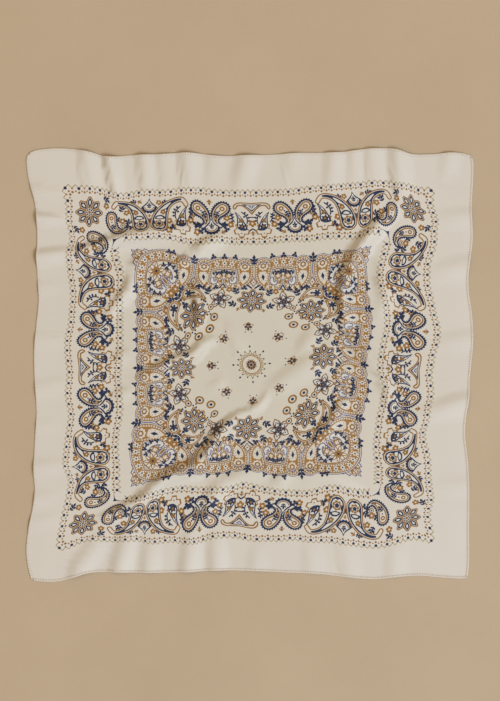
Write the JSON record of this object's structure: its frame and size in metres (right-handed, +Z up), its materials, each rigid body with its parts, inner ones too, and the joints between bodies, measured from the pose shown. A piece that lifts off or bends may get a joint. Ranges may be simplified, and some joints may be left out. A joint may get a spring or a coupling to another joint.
{
  "type": "silk square scarf",
  "caption": "Thin square scarf laid flat, with a gently waved rolled hem, soft ripples in its border and long low folds across its middle.",
  "frame": {"origin": "middle of the laid scarf's outline, on the surface that it rests on", "axes": "+Z up out of the surface, +Y towards the back edge, the top one as it is seen from above, and +X to the right"},
  "size_m": [0.5588, 0.5422, 0.0141],
  "materials": {
    "printed_silk": "soft matt cream silk with a light sheen, printed in navy, ochre and pale blue",
    "rolled_silk": "the same cream silk, rolled and overcast with a pale pinkish thread"
  },
  "bodies": {
    "root": {"cloth": "printed_silk", "hem_front": "rolled_silk", "hem_right": "rolled_silk", "hem_back": "rolled_silk", "hem_left": "rolled_silk"}
  },
  "joints": []
}
